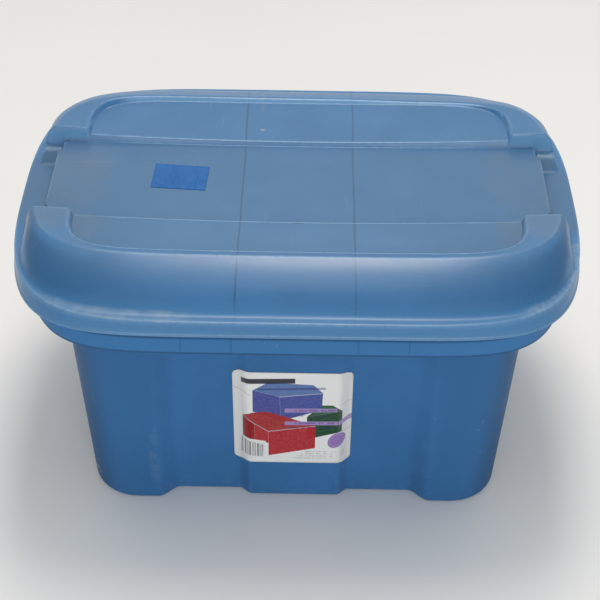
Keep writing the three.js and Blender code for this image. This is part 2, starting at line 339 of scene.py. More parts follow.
# ---------------- tub form
TUB_BASE = (245.3 * MM, 184.6 * MM)
TUB_DRAFT = (0.0555, 0.0406)
CORNER = 57 * MM
FADE = 2.2  # share of flute depth lost per metre of height
CHANNEL_DEEP = 17.2 * MM
CENTRE_DEEP = 7.4 * MM
CENTRE_EDGE = (51 * MM, 66 * MM)
COLUMN_EDGE = (138 * MM, 164 * MM)
END_DEEP = 9 * MM
END_EDGE = (46 * MM, 60 * MM)
FLOOR_THICK = 3.2 * MM
FLOOR_SHARES = (0.35, 0.7, 0.93)  # rings of the floor, as shares of its outline
RIM_THICK = 3 * MM
RIM_LIP = 3.6 * MM
WALL_TOP = RIM_TOP - RIM_THICK
APRON_BOTTOM = RIM_TOP - 49.6 * MM
GUSSET_X = (69 * MM, 124 * MM)
GUSSET_Y = 70 * MM
GUSSET_BOTTOM = RIM_TOP - 33.6 * MM
GUSSET_THICK = 2 * MM


def front_set_back(x, z):
    """How far the front wall lies behind the face of its corner columns."""
    side = np.abs(x)
    deep = CENTRE_DEEP + (CHANNEL_DEEP - CENTRE_DEEP) * smooth_step(side, *CENTRE_EDGE)
    return deep * (1 - smooth_step(side, *COLUMN_EDGE)) * (1 - FADE * z)


def end_set_back(y, z):
    return END_DEEP * (1 - smooth_step(np.abs(y), *END_EDGE)) * (1 - FADE * z)


def front_wall(x, z, proud=0.0):
    """y of the front wall's outer face, or of a skin that stands proud of it."""
    return front_set_back(x, z) - (TUB_BASE[1] + TUB_DRAFT[1] * z) - proud


def tub_plan(z, inset):
    """Plan of the tub's wall at height z, moved in by inset: points anticlockwise from above."""
    half_x = TUB_BASE[0] + TUB_DRAFT[0] * z - inset
    half_y = TUB_BASE[1] + TUB_DRAFT[1] * z - inset
    radius = max(CORNER - inset, 1 * MM)
    front_x = mirrored(spaced([(0, 10), (50, 1.2), (68, 8), (136, 1.4), (166, 6), (189, 6)]))
    front_x = front_x * (half_x - radius) / front_x.max()
    end_y = mirrored(spaced([(0, 10), (44, 1.4), (62, 8), (124, 8)]))
    end_y = end_y * (half_y - radius) / end_y.max()
    turn = np.linspace(0, math.pi / 2, 22)[1:-1]
    corner_x, corner_y = half_x - radius, half_y - radius
    front = np.stack([front_x, front_set_back(front_x, z) - half_y], -1)
    front_right = np.stack([corner_x + radius * np.sin(turn), -corner_y - radius * np.cos(turn)], -1)
    right = np.stack([half_x - end_set_back(end_y, z), end_y], -1)
    back_right = np.stack([corner_x + radius * np.cos(turn), corner_y + radius * np.sin(turn)], -1)
    half = np.concatenate([front, front_right, right, back_right])
    return np.concatenate([half, -half])


def ring_at(plan, z):
    return np.concatenate([plan, np.full((len(plan), 1), z)], 1)


def rim_plan(plan, outline):
    """The outline's point in the direction of each point of the plan."""
    factor = reach_factor(plan[:, 0], plan[:, 1], outline)
    return plan * factor[:, None]


def gusset_plates():
    """Upright plates that tie the apron to the wall, each as points and faces."""
    bite = 0.8 * MM  # how far a plate reaches into the plastic at both ends
    half = GUSSET_THICK / 2
    a, b, m, n = grown(APRON, -PLASTIC)
    plates = []
    for side in (-1, 1):
        for x in (-GUSSET_X[1], -GUSSET_X[0], GUSSET_X[0], GUSSET_X[1]):
            near = -front_wall(abs(x), GUSSET_BOTTOM) - bite
            far = b * (1 - (abs(x) / a) ** m) ** (1 / n) + bite
            plates.append(((x - half, side * near), (x + half, side * far)))
        for y in (-GUSSET_Y, GUSSET_Y):
            near = TUB_BASE[0] + TUB_DRAFT[0] * GUSSET_BOTTOM - bite
            far = a * (1 - (abs(y) / b) ** n) ** (1 / m) + bite
            plates.append(((side * near, y - half), (side * far, y + half)))
    quads = [(0, 3, 2, 1), (4, 5, 6, 7), (0, 1, 5, 4), (1, 2, 6, 5), (2, 3, 7, 6), (3, 0, 4, 7)]
    for start, end in plates:
        (x0, x1), (y0, y1) = sorted((start[0], end[0])), sorted((start[1], end[1]))
        ring = [(x0, y0), (x1, y0), (x1, y1), (x0, y1)]
        yield np.array([(x, y, z) for z in (GUSSET_BOTTOM, WALL_TOP + bite) for x, y in ring]), quads


def wall_rings():
    """Rings of the base's underside and of the wall's outside, upwards."""
    base_round = 5 * MM
    base_plan = tub_plan(0, base_round)
    rings = [ring_at(base_plan * share, 0) for share in FLOOR_SHARES]
    for angle in [0, *quarter_turn(5)]:
        z = base_round * (1 - math.cos(angle))
        rings.append(ring_at(tub_plan(z, base_round * (1 - math.sin(angle))), z))
    for z in np.linspace(base_round, WALL_TOP - 2 * MM, 24)[1:]:
        rings.append(ring_at(tub_plan(z, 0), z))
    return rings


def rim_rings():
    """Rings out under the rim, down and up the apron, round the lip and in over the rim."""
    top_plan = tub_plan(WALL_TOP, 0)
    inside_apron = rim_plan(top_plan, grown(APRON, -PLASTIC))
    rings = []
    for share in (0.08, 0.5, 0.92):
        rings.append(ring_at(top_plan + (inside_apron - top_plan) * share, WALL_TOP))
    for z in (WALL_TOP - 2 * MM, WALL_TOP - 20 * MM, APRON_BOTTOM + 0.6 * MM):
        rings.append(ring_at(inside_apron, z))
    bottom_in = rim_plan(top_plan, grown(APRON, -PLASTIC + 0.6 * MM))
    bottom_out = rim_plan(top_plan, grown(APRON, -0.6 * MM))
    outside_apron = rim_plan(top_plan, APRON)
    rings += [ring_at(bottom_in, APRON_BOTTOM), ring_at(bottom_out, APRON_BOTTOM)]
    for z in (APRON_BOTTOM + 0.6 * MM, APRON_BOTTOM + 3 * MM, WALL_TOP - 20 * MM, WALL_TOP - 1 * MM):
        rings.append(ring_at(outside_apron, z))
    lip = grown(SKIRT, -RIM_LIP)
    rings.append(ring_at(rim_plan(top_plan, grown(APRON, 1 * MM)), WALL_TOP))
    rings.append(ring_at(rim_plan(top_plan, grown(lip, -0.5 * MM)), WALL_TOP))
    rings.append(ring_at(rim_plan(top_plan, lip), WALL_TOP + 0.5 * MM))
    edge = 1.2 * MM
    for angle in [0, *quarter_turn(4)]:
        out = edge * (1 - math.cos(angle))
        rings.append(ring_at(rim_plan(top_plan, grown(lip, -out)), RIM_TOP - edge * (1 - math.sin(angle))))
    inner_top = tub_plan(RIM_TOP, PLASTIC)
    rim_edge = rim_plan(top_plan, grown(lip, -edge))
    for share in (0.3, 0.7):
        rings.append(ring_at(rim_edge + (inner_top - rim_edge) * share, RIM_TOP))
    return rings


def inside_rings():
    """Rings of the mouth's edge, of the wall's inside, downwards, and of the floor."""
    rings = []
    mouth = 2 * MM
    for angle in [0, *quarter_turn(4)]:
        z = RIM_TOP - mouth * (1 - math.cos(angle))
        rings.append(ring_at(tub_plan(z, PLASTIC - mouth * (1 - math.sin(angle))), z))
    floor_round = 6 * MM
    for z in np.linspace(RIM_TOP - 12 * MM, FLOOR_THICK + floor_round, 22):
        rings.append(ring_at(tub_plan(z, PLASTIC), z))
    for angle in quarter_turn(5):
        z = FLOOR_THICK + floor_round * (1 - math.sin(angle))
        rings.append(ring_at(tub_plan(z, PLASTIC + floor_round * (1 - math.cos(angle))), z))
    floor_plan = tub_plan(FLOOR_THICK, PLASTIC + floor_round)
    for share in reversed(FLOOR_SHARES):
        rings.append(ring_at(floor_plan * share, FLOOR_THICK))
    return rings


def build_tub():
    """One closed loft of rings, with the gusset plates added to it."""
    rings = wall_rings() + rim_rings() + inside_rings()
    count = len(rings[0])
    points = np.concatenate([[(0, 0, 0)], *rings, [(0, 0, FLOOR_THICK)]])
    numbers = [list(range(1 + k * count, 1 + (k + 1) * count)) for k in range(len(rings))]
    faces = []
    for lower, upper in zip(numbers, numbers[1:]):
        faces += bridge(lower, upper)
    last = len(points) - 1
    for i in range(count):
        j = (i + 1) % count
        faces.append((0, numbers[0][j], numbers[0][i]))
        faces.append((last, numbers[-1][i], numbers[-1][j]))
    tub_faces = len(faces)
    for plate_points, plate_faces in gusset_plates():
        faces += [tuple(len(points) + i for i in face) for face in plate_faces]
        points = np.concatenate([points, plate_points])
    piece = add_mesh("tub_moulding", points, faces)
    for polygon in list(piece.data.polygons)[tub_faces:]:
        polygon.use_smooth = False
    return piece


# ---------------- label and tape


def build_label():
    """A thin printed film that follows the front wall and turns into the channels."""
    centre, half_x = (LABEL_LOW.x + LABEL_HIGH.x) / 2, (LABEL_HIGH.x - LABEL_LOW.x) / 2
    low, high = LABEL_LOW.z, LABEL_HIGH.z
    corner = 8 * MM
    gap, thick = 0.35 * MM, 0.3 * MM
    across = np.linspace(-1, 1, 93)
    up = np.linspace(low, high, 61)
    from_edge = np.minimum(up - low, high - up)
    into_corner = np.clip(corner - from_edge, 0, corner)
    width = half_x - corner + np.sqrt(corner**2 - into_corner**2)
    z, share = np.meshgrid(up, across, indexing="ij")
    x = centre + share * width[:, None]
    outer = np.stack([x, front_wall(x, z, gap + thick), z], -1).reshape(-1, 3)
    inner = np.stack([x, front_wall(x, z, gap), z], -1).reshape(-1, 3)
    rows, columns = x.shape
    faces = grid_faces(rows, columns, 0, False) + grid_faces(rows, columns, len(outer), True)
    edge = grid_edge(rows, columns)
    faces += bridge(edge, [len(outer) + i for i in edge])
    return add_mesh("label_film", np.concatenate([outer, inner]), faces)


def build_tape():
    """A short strip of creped tape that lies on the sagged panel."""
    wide, deep, turn = 64 * MM, 48.5 * MM, math.radians(-3)
    centre = (TAPE_LOW + TAPE_HIGH) / 2
    u, v = np.meshgrid(np.linspace(-0.5, 0.5, 49), np.linspace(-0.5, 0.5, 37), indexing="ij")
    ragged = 0.35 * MM * np.sin(41 * v + 1.3) * np.sin(17 * v)
    local_x = u * wide + np.where(np.abs(u) > 0.49, np.sign(u) * ragged, 0)
    local_y = v * deep
    x = centre.x + local_x * math.cos(turn) - local_y * math.sin(turn)
    y = centre.y + local_x * math.sin(turn) + local_y * math.cos(turn)
    lift = 0.25 * MM * np.clip(np.abs(u) * 2 - 0.8, 0, 1) * (1 + np.sin(9 * v))
    under = lid_height(x, y) + 0.2 * MM + lift
    top = np.stack([x, y, under + 0.22 * MM], -1).reshape(-1, 3)
    bottom = np.stack([x, y, under], -1).reshape(-1, 3)
    rows, columns = x.shape
    faces = grid_faces(rows, columns, 0, True) + grid_faces(rows, columns, len(top), False)
    edge = grid_edge(rows, columns)
    faces += bridge([len(top) + i for i in edge], edge)
    return add_mesh("tape_strip", np.concatenate([top, bottom]), faces)


# ---------------- materials
TUB_BLUE = (0.039, 0.145, 0.342)
# painted light on the apron
LIT_APRON_BLUE = (0.047, 0.176, 0.392)
LID_BLUE = (0.032, 0.142, 0.328)
LIT_STEP_BLUE = (0.048, 0.186, 0.39)  # painted light on the steep steps and the foot of the humps
# painted light on the steepest faces and a painted reflection on the rear slope
LIT_PALE_BLUE = (0.13, 0.31, 0.53)
DULL_BLUE = (0.058, 0.13, 0.23)
# dust, and a painted highlight on the skirt's lip
DUST_AND_SHEEN_BLUE = (0.088, 0.208, 0.335)
# wear, dust and painted highlights on edges and in hollows
WEAR_DUST_HIGHLIGHT_BLUE = (0.25, 0.42, 0.62)
PALE_SCUFF = (0.38, 0.44, 0.47)
GRIME = (0.17, 0.16, 0.14)
MARK = (0.03, 0.04, 0.06)
LABEL_PAPER = ((0.71, 0.705, 0.7), (0.77, 0.765, 0.76))
VIOLET = (0.28, 0.17, 0.43)
PALE_VIOLET = (0.34, 0.24, 0.49)
RING_VIOLET = (0.5, 0.42, 0.6)
DARK_INK = (0.012, 0.014, 0.03)
NAVY_INK = (0.03, 0.04, 0.16)
GREY_INK = (0.12, 0.12, 0.13)
STRIPE_INK = (0.06, 0.065, 0.07)
# creases, and painted shade on the film's turned sides
CREASE_AND_SHADE_GREY = (0.25, 0.26, 0.27)

EDGE_RADIUS = 3 * MM  # an edge this tight counts as fully sharp
EDGE_SPREAD = 1.5 * MM  # wear and dust reach this far from a sharp edge


def store_edges(piece, extra=None):
    """Store on each vertex how near it is to a convex edge ("ridge") and to a hollow one ("groove")."""
    mesh = piece.data
    count = len(mesh.vertices)
    places = np.empty(count * 3)
    normals = np.empty(count * 3)
    mesh.vertices.foreach_get("co", places)
    mesh.vertices.foreach_get("normal", normals)
    ends = np.empty(len(mesh.edges) * 2, dtype=np.int64)
    mesh.edges.foreach_get("vertices", ends)
    places, normals, ends = places.reshape(-1, 3), normals.reshape(-1, 3), ends.reshape(-1, 2)
    here = np.concatenate([ends[:, 0], ends[:, 1]])
    there = np.concatenate([ends[:, 1], ends[:, 0]])
    step = places[there] - places[here]
    length = np.maximum(np.sqrt((step**2).sum(1)), 1e-5)
    bend = -2 * (normals[here] * step).sum(1) / length**2
    total, hits = np.zeros(count), np.zeros(count)
    np.add.at(total, here, bend)
    np.add.at(hits, here, 1)
    bend = np.clip(2 * total / np.maximum(hits, 1) * EDGE_RADIUS, -1, 1)
    for name, value in (("ridge", np.maximum(bend, 0)), ("groove", np.maximum(-bend, 0))):
        if extra is not None and name == "ridge":
            value = np.maximum(value, extra)
        for _ in range(4):
            np.maximum.at(value, there, value[here] - length / EDGE_SPREAD)
        layer = mesh.attributes.new(name, "FLOAT", "POINT")
        layer.data.foreach_set("value", value)


def ridge_highlight(lid):
    """Painted highlight, with some wear, on the front ridge's sharp outer edge, less at its ends and along
    the rear ridge.
    """
    places = np.empty(len(lid.data.vertices) * 3)
    lid.data.vertices.foreach_get("co", places)
    x, y, _ = places.reshape(-1, 3).T
    line = np.exp(-((outline_distance(x, y, RIDGE) / (1.2 * MM)) ** 2))
    return line * (1 - 0.85 * smooth_step(np.abs(x), 190 * MM, 245 * MM)) * np.where(y < 0, 0.9, 0.3)


def map_range(tree, value, span, levels, kind):
    """Output that goes from the first level to the second as value goes through the span."""
    node = tree.nodes.new("ShaderNodeMapRange")
    node.interpolation_type = kind
    tree.links.new(value, node.inputs["Value"])
    for name, number in zip(("From Min", "From Max", "To Min", "To Max"), (*span, *levels)):
        node.inputs[name].default_value = number
    return node.outputs["Result"]


class Nodes:
    """Small helper that adds and links shader nodes of one material."""

    def __init__(self, name):
        self.material = bpy.data.materials.new(name)
        self.material.use_nodes = True
        self.tree = self.material.node_tree
        self.shader = self.tree.nodes["Principled BSDF"]
        self.place = self.add("ShaderNodeTexCoord").outputs["Object"]
        self.x, self.y, self.z = self.axes(self.place)

    def add(self, kind, **settings):
        node = self.tree.nodes.new(kind)
        for key, value in settings.items():
            setattr(node, key, value)
        return node

    def link(self, output, socket):
        if isinstance(output, bpy.types.NodeSocket):
            self.tree.links.new(output, socket)
        else:
            socket.default_value = output

    def math(self, operation, a, b=0.0):
        node = self.add("ShaderNodeMath", operation=operation)
        for value, socket in zip((a, b), node.inputs):
            self.link(value, socket)
        return node.outputs[0]

    def times(self, *values):
        product = values[0]
        for value in values[1:]:
            product = self.math("MULTIPLY", product, value)
        return product

    def noise(self, scale, detail=4.0, rough=0.55, stretch=(1, 1, 1)):
        mapping = self.add("ShaderNodeMapping")
        self.link(self.place, mapping.inputs["Vector"])
        mapping.inputs["Scale"].default_value = stretch
        node = self.add("ShaderNodeTexNoise")
        self.link(mapping.outputs[0], node.inputs["Vector"])
        node.inputs["Scale"].default_value = scale
        node.inputs["Detail"].default_value = detail
        node.inputs["Roughness"].default_value = rough
        return node.outputs["Fac"]

    def ramp(self, value, low, high, to_low=0.0, to_high=1.0):
        """S-shaped change from to_low to to_high as value goes from low to high."""
        return map_range(self.tree, value, (low, high), (to_low, to_high), "SMOOTHSTEP")

    def near(self, value, centre, reach):
        """1 where value is centre, fading to 0 at reach on both sides."""
        off = self.math("ABSOLUTE", self.math("SUBTRACT", value, centre))
        return self.ramp(off, 0, reach, 1, 0)

    def patch(self, centre, reach, edge_noise):
        """Soft round patch about a place; reach is its half-size along x, y and z."""
        distance = edge_noise
        for value, middle, size in zip((self.x, self.y, self.z), centre, reach):
            scaled = self.math("DIVIDE", self.math("SUBTRACT", value, middle), size)
            distance = self.math("ADD", distance, self.math("MULTIPLY", scaled, scaled))
        return self.ramp(distance, 0.25, 1.2, 1, 0)

    def mix(self, share, a, b):
        node = self.add("ShaderNodeMix", data_type="RGBA")
        self.link(share, node.inputs[0])
        for value, socket in ((a, node.inputs[6]), (b, node.inputs[7])):
            self.link((*value, 1) if isinstance(value, tuple) else value, socket)
        return node.outputs[2]

    def axes(self, output):
        node = self.add("ShaderNodeSeparateXYZ")
        self.link(output, node.inputs[0])
        return node.outputs

    def attribute(self, name):
        node = self.add("ShaderNodeAttribute", attribute_name=name)
        return node.outputs["Fac"]

    def bump(self, height, strength, distance, normal=None):
        node = self.add("ShaderNodeBump")
        node.inputs["Strength"].default_value = strength
        node.inputs["Distance"].default_value = distance
        self.link(height, node.inputs["Height"])
        if normal is not None:
            self.link(normal, node.inputs["Normal"])
        return node.outputs["Normal"]

    def finish(self, colour, roughness, normal):
        self.link(colour, self.shader.inputs["Base Color"])
        self.link(roughness, self.shader.inputs["Roughness"])
        self.link(normal, self.shader.inputs["Normal"])
        return self.material


def shaded(colour, share):
    """The colour made darker or lighter by that share."""
    return tuple(share * channel for channel in colour)


def moulded_plastic(n, deep):
    """Colour and bump that lid and tub share: satin polypropylene, slightly mottled, finely grained."""
    mottling = n.noise(11, 5, 0.6)
    streaks = n.noise(26, 3, 0.5, (1, 1, 0.12))
    tone = n.math("ADD", n.times(mottling, 0.7), n.times(streaks, 0.3))
    base = n.mix(n.ramp(tone, 0.3, 0.7), shaded(deep, 0.9), shaded(deep, 1.08))
    wave = n.noise(7, 2, 0.5)
    grain = n.noise(650, 3, 0.65)
    normal = n.bump(grain, 0.4, 0.05 * MM, n.bump(wave, 0.25, 1.2 * MM))
    return base, mottling, normal


def scuffs(n, threshold=0.66):
    """Short pale scratches that run in two directions."""
    along = n.ramp(n.noise(110, 3, 0.6, (0.1, 1.8, 1)), threshold, threshold + 0.08)
    across = n.ramp(n.noise(90, 3, 0.6, (1.7, 0.12, 0.3)), threshold, threshold + 0.08)
    worn = n.ramp(n.noise(6, 2, 0.5), 0.42, 0.62)
    return n.times(n.math("MAXIMUM", along, across), worn)


def panel_ends(n, base, upward, cloud):
    """Painted shade in the gaps at the panel's ends, dull low ledges beyond them, paler ramp faces beside
    them and a painted highlight along the ramps' brows.
    """
    off_middle = n.math("ABSOLUTE", n.x)
    off_centre = n.math("ABSOLUTE", n.y)
    # painted shade in the crease beyond the panel's end
    gap = n.times(n.near(off_middle, PANEL_END + 4 * MM, 4 * MM), n.ramp(cloud, 0.3, 0.6, 0.4, 0.9))
    gap = n.times(gap, n.ramp(off_centre, RAMP_FOOT - 8 * MM, RAMP_FOOT - 2 * MM, 1, 0))
    base = n.mix(gap, base, shaded(LID_BLUE, 0.4))
    end_ledge = n.ramp(off_middle, PANEL_END, PANEL_END + 4 * MM)
    end_ledge = n.times(end_ledge, n.ramp(off_centre, 55 * MM, 75 * MM, 1, 0))
    base = n.mix(n.times(end_ledge, n.ramp(upward, 0.5, 0.9), 0.55), base, DULL_BLUE)
    at_ramp = n.ramp(off_middle, PANEL_END - 5 * MM, PANEL_END - 1 * MM)
    at_ramp = n.times(at_ramp, n.ramp(n.z, LEDGE + 1 * MM, LEDGE + 4 * MM))
    # the ramp faces are painted paler
    face = n.times(at_ramp, n.near(off_centre, (RAMP_FOOT + RAMP_TOP) / 2, 9 * MM), 0.5)
    base = n.mix(face, base, DUST_AND_SHEEN_BLUE)
    # painted highlight along the ramp's brow
    brow_highlight = n.times(at_ramp, n.near(off_centre, RAMP_TOP + 1 * MM, 4 * MM), 0.55)
    return n.mix(brow_highlight, base, WEAR_DUST_HIGHLIGHT_BLUE)


def lid_grime(n, base, cloud, specks):
    """Grime in the corners, faint scratches and a few single marks."""
    rough_edge = n.times(n.math("SUBTRACT", specks, 0.5), 1.6)
    grime = None
    for side in (-1, 1):
        for centre, reach in (
            ((side * 243 * MM, -100 * MM, RECESS), (24 * MM, 40 * MM, 12 * MM)),
            ((side * 275 * MM, -90 * MM, LID_TOP), (30 * MM, 40 * MM, 12 * MM)),
            ((side * 262 * MM, 20 * MM, PANEL), (50 * MM, 90 * MM, 7 * MM)),
            ((side * 298 * MM, 68 * MM, LEDGE), (16 * MM, 20 * MM, 20 * MM)),
        ):
            spot = n.patch(centre, reach, rough_edge)
            grime = spot if grime is None else n.math("MAXIMUM", grime, spot)
    base = n.mix(n.times(grime, n.ramp(cloud, 0.3, 0.65, 0.05, 0.3)), base, GRIME)
    base = n.mix(n.times(scuffs(n), 0.1), base, PALE_SCUFF)
    spots = n.patch((-45 * MM, 105 * MM, RECESS), (5 * MM, 4 * MM, 8 * MM), rough_edge)
    base = n.mix(n.times(spots, 0.7), base, PALE_SCUFF)
    marks = n.patch((-34 * MM, -84 * MM, RECESS), (7 * MM, 1.6 * MM, 12 * MM), rough_edge)
    other = n.patch((1 * MM, -84 * MM, RECESS), (9 * MM, 1.6 * MM, 12 * MM), rough_edge)
    return n.mix(n.times(n.math("MAXIMUM", marks, other), 0.6), base, MARK)


def lid_plastic():
    n = Nodes("lid_plastic")
    base, mottling, normal = moulded_plastic(n, LID_BLUE)
    upward = n.axes(n.add("ShaderNodeNewGeometry").outputs["Normal"])[2]
    cloud = n.noise(5, 4, 0.6)
    specks = n.noise(160, 3, 0.6)

    # the two ribs underneath show through as thin dark lines
    wobble = n.times(n.math("SUBTRACT", n.noise(14, 2, 0.5, (0, 1, 1)), 0.5), 3.2 * MM)
    off_rib = n.math("SUBTRACT", n.math("SUBTRACT", n.math("ABSOLUTE", n.x), RIB_AT), wobble)
    rib_line = n.times(n.near(off_rib, 0, 2 * MM), n.ramp(cloud, 0.3, 0.6, 0.7, 1))
    base = n.mix(n.times(rib_line, 0.8), base, shaded(LID_BLUE, 0.5))
    normal = n.bump(rib_line, -0.5, 0.5 * MM, normal)

    # painted shade: the front slope is darker towards its sides
    off_middle = n.math("ABSOLUTE", n.x)
    off_centre = n.math("ABSOLUTE", n.y)
    above_ledge = n.ramp(n.z, LEDGE + 1 * MM, LEDGE + 5 * MM)
    front_slope = n.ramp(n.y, -84 * MM, -80 * MM, 1, 0)
    front_slope = n.times(front_slope, n.ramp(n.z, LID_TOP - 8 * MM, LID_TOP - 2 * MM, 1, 0))
    shade = n.times(front_slope, above_ledge, n.ramp(off_middle, 80 * MM, 290 * MM))
    base = n.mix(n.times(shade, 0.9), base, shaded(LID_BLUE, 0.74))

    # dust on what faces up, less on the curbs, the ledge and the rear slope, and a painted highlight on
    # the skirt's lip
    dust = n.times(n.ramp(upward, 0.8, 0.995), n.ramp(cloud, 0.25, 0.75, 0.7, 1.1), 0.37)
    dust = n.times(dust, n.ramp(rib_line, 0, 1, 1, 0.35))
    curb = n.ramp(n.z, LID_TOP - 7 * MM, LID_TOP - 5 * MM)
    curb = n.times(curb, n.ramp(off_middle, 200 * MM, 235 * MM, 1, 0))
    dust = n.times(dust, n.ramp(curb, 0, 1, 1, 0.45))
    dust = n.times(dust, n.ramp(above_ledge, 0, 1, 0.12, 1), n.ramp(n.y, 60 * MM, 120 * MM, 1, 0.6))
    dust = n.times(dust, n.ramp(n.y, 158 * MM, 166 * MM, 1, 0.3))
    # painted highlight: the skirt's lower lip is painted lighter
    lip = n.times(n.ramp(n.z, SKIRT_BOTTOM + 2.4 * MM, SKIRT_BOTTOM + 4 * MM, 1, 0), 0.3)
    dust_and_lip_highlight = n.math("MAXIMUM", dust, lip)
    base = n.mix(dust_and_lip_highlight, base, DUST_AND_SHEEN_BLUE)

    # painted light: paler steps, steepest faces and slope feet, and a painted reflection along the rear
    # slope
    # painted light: the slope feet and the steps are painted paler and bluer
    foot = n.times(n.ramp(n.z, LEDGE + 1 * MM, LEDGE + 14 * MM, 1, 0), n.ramp(cloud, 0.3, 0.7, 0.45, 0.75))
    foot = n.times(foot, n.ramp(off_centre, 60 * MM, 110 * MM, 0.2, 1))
    lit_steep = n.times(n.ramp(upward, 0.42, 0.6, 0.9, 0), n.ramp(lip, 0, 0.3, 1, 0))
    base = n.mix(n.math("MAXIMUM", foot, lit_steep), base, LIT_STEP_BLUE)
    # painted light on the steepest faces and a painted reflection along the rear slope
    lit_sheer = n.times(n.ramp(upward, 0.16, 0.36, 0.95, 0), above_ledge)
    behind = n.times(n.ramp(n.y, 150 * MM, 156 * MM), n.ramp(n.y, 164 * MM, 172 * MM, 1, 0))
    behind = n.times(behind, n.ramp(upward, 0.8, 0.95, 0.75, 0))
    behind = n.times(behind, n.ramp(off_middle, 225 * MM, 250 * MM, 1, 0))
    base = n.mix(n.math("MAXIMUM", lit_sheer, behind), base, LIT_PALE_BLUE)

    # worn edges with a painted highlight, and dust with a painted sheen in the hollows
    far = n.times(n.ramp(off_middle, 190 * MM, 240 * MM), above_ledge)
    hollow_dust_and_sheen = n.times(n.attribute("groove"), n.ramp(specks, 0.3, 0.6, 0.2, 0.4))
    hollow_dust_and_sheen = n.times(hollow_dust_and_sheen, n.ramp(far, 0, 1, 1, 0.25))
    base = n.mix(n.times(hollow_dust_and_sheen, n.ramp(above_ledge, 0, 1, 0.25, 1)), base, WEAR_DUST_HIGHLIGHT_BLUE)
    worn = n.times(n.attribute("ridge"), n.ramp(specks, 0.3, 0.6, 0.4, 0.65))
    worn = n.times(worn, n.ramp(far, 0, 1, 1, 0.6))
    base = n.mix(n.times(worn, n.ramp(above_ledge, 0, 1, 0.5, 1)), base, WEAR_DUST_HIGHLIGHT_BLUE)

    base = panel_ends(n, base, upward, cloud)

    # the panel is a little duller, most of all towards its ends
    on_panel = n.times(n.ramp(off_centre, TROUGH_HALF - 6 * MM, TROUGH_HALF - 1 * MM, 1, 0), above_ledge)
    darker_panel = n.times(on_panel, n.ramp(off_middle, 60 * MM, 220 * MM, 0.08, 0.13))
    base = n.mix(darker_panel, base, MARK)

    # pale wear on the ledge's fillet, front left and in the right corner
    streak = n.times(n.ramp(n.x, -300 * MM, -240 * MM), n.ramp(n.x, -150 * MM, -90 * MM, 1, 0))
    right_corner = n.times(n.ramp(n.x, 235 * MM, 270 * MM), n.ramp(specks, 0.4, 0.55, 0.5, 1))
    streak = n.times(n.math("MAXIMUM", streak, right_corner), n.ramp(n.y, -90 * MM, -80 * MM, 1, 0))
    streak = n.times(streak, n.near(n.z, LEDGE + 1 * MM, 3.5 * MM))
    streak = n.times(streak, n.ramp(n.noise(40, 3, 0.6), 0.35, 0.65, 0.12, 0.34))
    base = n.mix(streak, base, PALE_SCUFF)

    base = lid_grime(n, base, cloud, specks)
    roughness = n.math("ADD", n.ramp(mottling, 0.3, 0.7, 0.27, 0.33), n.times(dust_and_lip_highlight, 0.12))
    roughness = n.math("ADD", roughness, n.times(n.attribute("groove"), 0.15))
    return n.finish(base, roughness, normal)


